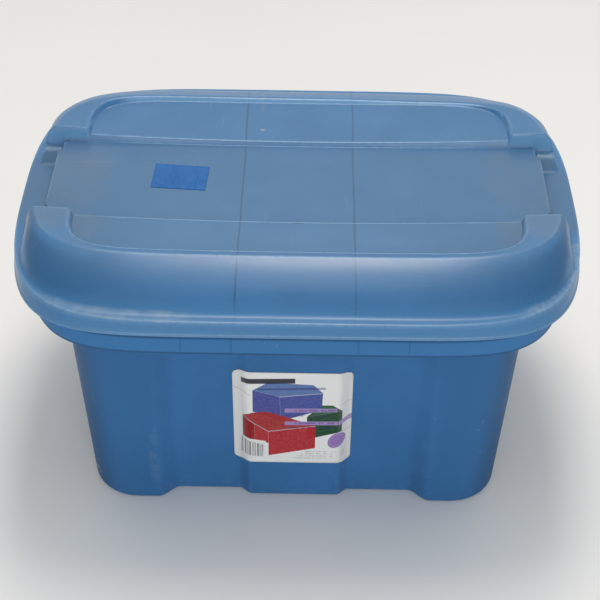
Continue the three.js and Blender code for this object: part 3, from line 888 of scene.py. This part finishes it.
def tub_plastic():
    n = Nodes("tub_plastic")
    base, mottling, normal = moulded_plastic(n, TUB_BLUE)
    specks = n.noise(140, 3, 0.6)
    # painted shade in the hollow corners
    base = n.mix(n.times(n.attribute("groove"), 0.1), base, shaded(TUB_BLUE, 0.6))
    # worn edges with a painted highlight
    base = n.mix(n.times(n.attribute("ridge"), n.ramp(specks, 0.35, 0.65, 0.02, 0.1)), base, WEAR_DUST_HIGHLIGHT_BLUE)

    # painted light on the thin apron, its gussets, painted shade on the corner columns and the ends, a
    # painted shadow under the lid's skirt and painted shade along the apron's lower edge
    side = n.math("ABSOLUTE", n.x)
    facing = n.axes(n.add("ShaderNodeNewGeometry").outputs["Normal"])
    apron = n.ramp(n.z, APRON_BOTTOM, APRON_BOTTOM + 1 * MM)
    # painted light: the apron is painted lighter than the wall below
    base = n.mix(n.times(apron, 0.8), base, LIT_APRON_BLUE)
    ticks = n.math("MAXIMUM", n.near(side, GUSSET_X[0], 1.6 * MM), n.near(side, GUSSET_X[1], 1.6 * MM))
    on_apron = n.ramp(n.z, APRON_BOTTOM, APRON_BOTTOM + 8 * MM)
    on_apron = n.times(on_apron, n.ramp(n.z, RIM_TOP - 12 * MM, RIM_TOP, 1, 0))
    base = n.mix(n.times(ticks, on_apron, 0.5), base, shaded(TUB_BLUE, 0.6))
    wall = n.math("SUBTRACT", 1, apron)
    # painted shade on the corner columns
    base = n.mix(n.times(wall, n.ramp(side, 150 * MM, 175 * MM), 0.6), base, shaded(TUB_BLUE, 0.84))
    # painted shade on the ends
    sideways_shade = n.times(n.ramp(n.math("ABSOLUTE", facing[0]), 0.3, 0.9), n.ramp(side, 190 * MM, 215 * MM))
    base = n.mix(n.times(wall, sideways_shade, 0.85), base, shaded(TUB_BLUE, 0.62))
    # painted shadow under the lid's skirt and painted shade along the apron's lower edge
    skirt_shadow = n.ramp(n.z, SKIRT_BOTTOM - 12 * MM, SKIRT_BOTTOM - 9.5 * MM)
    apron_edge_shade = n.times(n.ramp(n.z, APRON_BOTTOM + 2.4 * MM, APRON_BOTTOM + 4 * MM, 1, 0), apron)
    shadowed = n.times(n.math("MAXIMUM", skirt_shadow, apron_edge_shade), 0.75)
    base = n.mix(shadowed, base, shaded(TUB_BLUE, 0.5))

    # dirt near the floor, the rubbed left column and its nick
    low = n.times(n.ramp(n.z, 2 * MM, 45 * MM, 1, 0), n.ramp(specks, 0.5, 0.7))
    base = n.mix(n.times(low, 0.06), base, PALE_SCUFF)
    rough_edge = n.times(n.math("SUBTRACT", specks, 0.5), 2.5)
    rubbed = n.patch((-166 * MM, -185 * MM, 75 * MM), (9 * MM, 30 * MM, 62 * MM), rough_edge)
    nick = n.patch((-240 * MM, -160 * MM, 22 * MM), (7 * MM, 14 * MM, 7 * MM), rough_edge)
    damage = n.math("MAXIMUM", n.times(rubbed, 0.09), n.times(nick, 0.7))
    base = n.mix(n.times(damage, n.ramp(specks, 0.4, 0.65)), base, PALE_SCUFF)
    base = n.mix(n.times(scuffs(n, 0.67), 0.2), base, PALE_SCUFF)
    n.shader.inputs["Specular IOR Level"].default_value = 0.1
    return n.finish(base, n.ramp(mottling, 0.3, 0.7, 0.42, 0.5), normal)


def facet(n, corners, soft=0.8 * MM):
    """1 inside a convex facet drawn on the label, its corners anticlockwise in mm as (x, z)."""
    inside = None
    for (x0, z0), (x1, z1) in zip(corners, corners[1:] + corners[:1]):
        length = math.hypot(x1 - x0, z1 - z0)
        across, up = (z0 - z1) / length, (x1 - x0) / length
        start = (across * x0 + up * z0) * MM
        off = n.math("ADD", n.times(n.x, across), n.times(n.z, up))
        step = n.ramp(off, start - soft / 2, start + soft / 2)
        inside = step if inside is None else n.times(inside, step)
    return inside


def box_picture(n, colour):
    """Three stacked boxes, red, blue and green, with pale edges."""
    grey_print = n.ramp(n.noise(300, 2), 0.3, 0.7, 0.96, 1)
    facets = (
        ([(15, 100), (56, 114), (56, 149), (15, 138)], (0.011, 0.058, 0.024)),
        ([(15, 138), (56, 149), (45, 158), (30, 158)], (0.024, 0.1, 0.042)),
        ([(-48, 146), (-15, 131), (-17, 171), (-48, 181)], (0.062, 0.072, 0.28)),
        ([(-15, 131), (32, 150), (33, 178), (-17, 171)], (0.06, 0.08, 0.29)),
        ([(-48, 181), (-17, 171), (33, 178), (22, 191), (-30, 194)], (0.1, 0.165, 0.375)),
        ([(-60, 100), (-46, 94), (-46, 127), (-60, 137)], (0.26, 0.006, 0.009)),
        ([(-46, 94), (-30, 93), (-30, 113), (-46, 127)], (0.39, 0.025, 0.03)),
        ([(-30, 71), (25, 85), (25, 123), (-30, 113)], (0.40, 0.022, 0.03)),
        ([(-60, 137), (-30, 113), (25, 123), (-5, 136), (-32, 146), (-49, 144)], (0.34, 0.03, 0.03)),
    )
    for corners, ink in facets:
        colour = n.mix(n.times(facet(n, corners), grey_print), colour, ink)
    for corners in (
        [(-17, 170), (33, 177), (33, 178), (-17, 171.4)],
        [(-60, 136), (-30, 112), (-30, 113.4), (-60, 137.6)],
        [(-30, 112), (25, 122), (25, 123.4), (-30, 113.4)],
    ):
        colour = n.mix(n.times(facet(n, corners), 0.6), colour, (0.5, 0.5, 0.6))
    return colour


def bars_and_stripes(n, colour):
    """Plain bars where the titles would be, rows of dashes, a striped block and an oval."""
    for corners in (
        [(-11, 145), (50, 147), (50, 153), (-11, 152)],
        [(-11, 124), (52, 125), (52, 131.5), (-11, 130)],
        [(52, 125), (68, 132), (68, 141), (52, 131.5)],
    ):
        colour = n.mix(n.times(facet(n, corners), 0.92), colour, PALE_VIOLET)
    title_bar = facet(n, [(-61, 191), (1, 193), (1, 201), (-61, 199)])
    colour = n.mix(n.times(title_bar, 0.95), colour, DARK_INK)
    second_bar = facet(n, [(-42, 181), (36, 184), (36, 187), (-42, 184)])
    colour = n.mix(n.times(second_bar, 0.6), colour, NAVY_INK)

    lines = n.ramp(n.math("SINE", n.times(n.z, 1 / (0.62 * MM))), 0.1, 0.8)
    words = n.ramp(n.noise(300, 1, 0.5, (1, 1, 0.3)), 0.42, 0.5)
    small = n.times(facet(n, [(-2, 66), (58, 68), (60, 82), (14, 80)]), lines, words)
    colour = n.mix(n.times(small, 0.45), colour, GREY_INK)
    for z0, x0, x1 in ((146, 0, 48), (125, 0, 52), (137, -10, 44), (117, -8, 44)):
        dashes = n.times(facet(n, [(x0, z0 + 1), (x1, z0 + 2), (x1, z0 + 5), (x0, z0 + 4)]), words)
        colour = n.mix(n.times(dashes, 0.45), colour, (0.05, 0.03, 0.14))

    white = facet(n, [(-66, 66), (-34, 68), (-33, 96), (-65, 102)])
    colour = n.mix(white, colour, (0.7, 0.7, 0.695))
    uneven = n.times(n.math("SINE", n.times(n.x, 800)), 2.2)
    stripe = n.math("SINE", n.math("ADD", n.times(n.x, 2900), uneven))
    stripes = n.times(facet(n, [(-63, 72), (-37, 69), (-36, 90), (-62, 98)]), n.ramp(stripe, -0.2, 0.2))
    colour = n.mix(n.times(stripes, 0.75), colour, STRIPE_INK)

    oval_x = n.math("DIVIDE", n.math("SUBTRACT", n.x, 50 * MM), 10.5 * MM)
    oval_z = n.math("DIVIDE", n.math("SUBTRACT", n.z, 99 * MM), 12.5 * MM)
    lean = n.math("SUBTRACT", oval_z, n.times(oval_x, 0.35))
    off = n.math("ADD", n.times(oval_x, oval_x), n.times(lean, lean))
    colour = n.mix(n.ramp(off, 0.92, 1.05, 1, 0), colour, VIOLET)
    ring = n.near(off, 0.62, 0.09)
    return n.mix(n.times(ring, 0.5), colour, RING_VIOLET)


PRINT_SHIFT = 2 * MM
PRINT_DATUM = 210 * MM


def label_print():
    """Printed film: a picture of three stacked boxes, plain colour bars, an oval and stripes.

    Corners are in mm: x from PRINT_SHIFT right of the film's middle, z from PRINT_DATUM below its top.
    """
    n = Nodes("label_film")
    n.x = n.math("SUBTRACT", n.x, (LABEL_LOW.x + LABEL_HIGH.x) / 2 + PRINT_SHIFT)
    n.z = n.math("SUBTRACT", n.z, LABEL_HIGH.z - PRINT_DATUM)
    colour = n.mix(n.noise(35, 3), *LABEL_PAPER)
    colour = box_picture(n, colour)
    colour = bars_and_stripes(n, colour)
    n.shader.inputs["Specular IOR Level"].default_value = 0.12
    wrinkle = n.noise(30, 3, 0.5, (1.0, 1, 2.2))
    normal = n.bump(wrinkle, 0.5, 0.9 * MM)
    crease = facet(n, [(-70, 181), (-50, 172), (-50, 173.2), (-70, 182.4)])
    for corners in (
        [(52, 158), (69, 164), (69, 165), (52, 159)],
        [(56, 112), (69, 117), (69, 118), (56, 113)],
    ):
        crease = n.math("MAXIMUM", crease, facet(n, corners))
    colour = n.mix(n.times(crease, 0.55), colour, CREASE_AND_SHADE_GREY)
    # painted shade where the film turns into the channels
    off_middle = n.math("ABSOLUTE", n.math("ADD", n.x, PRINT_SHIFT))
    turned_shade = n.ramp(off_middle, CENTRE_EDGE[0], CENTRE_EDGE[0] + 8 * MM, 0, 0.22)
    colour = n.mix(turned_shade, colour, CREASE_AND_SHADE_GREY)
    return n.finish(colour, n.ramp(wrinkle, 0.3, 0.7, 0.34, 0.42), normal)


def tape_paper():
    """Creped paper tape: fine ridges across its length and slightly uneven blue."""
    n = Nodes("tape")
    crepe = n.noise(240, 3, 0.6, (1, 0.35, 1))
    cloud = n.noise(40, 3, 0.6)
    base = n.mix(n.ramp(cloud, 0.3, 0.7), (0.013, 0.112, 0.355), (0.017, 0.132, 0.39))
    base = n.mix(n.ramp(crepe, 0.45, 0.7, 0, 0.35), base, (0.009, 0.088, 0.305))
    n.shader.inputs["Specular IOR Level"].default_value = 0.3
    return n.finish(base, n.ramp(crepe, 0.3, 0.7, 0.6, 0.75), n.bump(crepe, 0.6, 0.15 * MM))


def floor_paint():
    n = Nodes("floor_paint")
    tone = n.mix(n.noise(3, 4, 0.6), (0.82, 0.82, 0.815), (0.85, 0.85, 0.845))
    roughness = n.ramp(n.noise(12, 3), 0.3, 0.7, 0.6, 0.7)
    return n.finish(tone, roughness, n.bump(n.noise(500, 3), 0.15, 0.05 * MM))


# ---------------- stage
def make_floor():
    size = 6.0
    points = np.array([[-size, -size, 0], [size, -size, 0], [size, size, 0], [-size, size, 0]], float)
    floor = add_mesh("floor", points, [(0, 1, 2, 3)])
    floor.data.materials.append(floor_paint())


def area_light(name, place, target, size, radiance, colour):
    """A rectangular soft box; radiance is its brightness, whatever its size."""
    lamp = bpy.data.lights.new(name, "AREA")
    lamp.color = colour
    lamp.shape = "RECTANGLE"
    lamp.size, lamp.size_y = size
    lamp.energy = radiance * math.pi * size[0] * size[1]
    light = bpy.data.objects.new(name, lamp)
    bpy.context.scene.collection.objects.link(light)
    light.location = place
    aim = Vector(target) - Vector(place)
    light.rotation_euler = aim.to_track_quat("-Z", "Y").to_euler()


def make_camera():
    """The camera stands in front of the tote and above it, and looks down at its middle."""
    distance, elevation = 1.922, math.radians(39.18)
    turn, roll = math.radians(-0.41), math.radians(0.67)
    aim = Vector((3.55 * MM, 0, 163.4 * MM))
    cam = bpy.data.objects.new("camera", bpy.data.cameras.new("camera"))
    bpy.context.scene.collection.objects.link(cam)
    cam.data.lens = 92.73
    cam.data.sensor_width = 36
    unturn = Matrix.Rotation(-turn, 3, "Z")
    back = Vector((0, -math.cos(elevation), math.sin(elevation)))
    rise = Vector((0, math.sin(elevation), math.cos(elevation)))
    right = Vector((1, 0, 0))
    image_right = right * math.cos(roll) + rise * math.sin(roll)
    image_up = rise * math.cos(roll) - right * math.sin(roll)
    axes = Matrix((unturn @ image_right, unturn @ image_up, unturn @ back)).transposed()
    cam.rotation_mode = "QUATERNION"
    cam.rotation_quaternion = axes.to_quaternion()
    cam.location = unturn @ (aim + back * distance)
    cam.data.clip_end = 50
    bpy.context.scene.camera = cam


def make_lights():
    """A pale studio, brighter behind the tote, with an overhead strip and a broad front box."""
    world = bpy.data.worlds.new("studio")
    bpy.context.scene.world = world
    world.use_nodes = True
    tree = world.node_tree
    place = tree.nodes.new("ShaderNodeTexCoord")
    split = tree.nodes.new("ShaderNodeSeparateXYZ")
    tree.links.new(place.outputs["Generated"], split.inputs[0])
    glow = map_range(tree, split.outputs[1], (-0.2, 0.6), (0.52, 1.0), "SMOOTHSTEP")
    aside = tree.nodes.new("ShaderNodeMath")
    aside.operation = "ABSOLUTE"
    tree.links.new(split.outputs[0], aside.inputs[0])
    dim = map_range(tree, aside.outputs[0], (0.25, 0.9), (1, 0.5), "LINEAR")
    level = tree.nodes.new("ShaderNodeMath")
    level.operation = "MULTIPLY"
    tree.links.new(glow, level.inputs[0])
    tree.links.new(dim, level.inputs[1])
    back = tree.nodes["Background"]
    back.inputs[0].default_value = (0.97, 0.99, 1, 1)
    tree.links.new(level.outputs[0], back.inputs[1])
    area_light("overhead_strip", (0.06, 0.62, 2.5), (0.06, -0.1, 0.36), (0.7, 1.0), 12, (1, 0.9, 0.8))
    area_light("ceiling_strip", (0.03, -0.35, 2.4), (0.03, -0.2, 0.3), (0.5, 0.9), 2.8, (0.88, 0.96, 1))
    area_light("front_box", (0.2, -2.9, 0.95), (0, 0, 0.2), (1.8, 1.0), 4.9, (0.94, 0.99, 1))


bpy.context.scene.view_settings.view_transform = "Standard"
make_camera()
make_lights()
make_floor()

tub = build_tub()
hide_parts("tub")
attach(tub, "tub")
store_edges(tub)
tub.data.materials.append(tub_plastic())

label = build_label()
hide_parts("front_label")
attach(label, "tub")
label.data.materials.append(label_print())

lid = build_lid()
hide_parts("lid")
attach(lid, "lid")
store_edges(lid, ridge_highlight(lid))
lid.data.materials.append(lid_plastic())

tape = build_tape()
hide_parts("tape_patch")
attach(tape, "lid")
tape.data.materials.append(tape_paper())
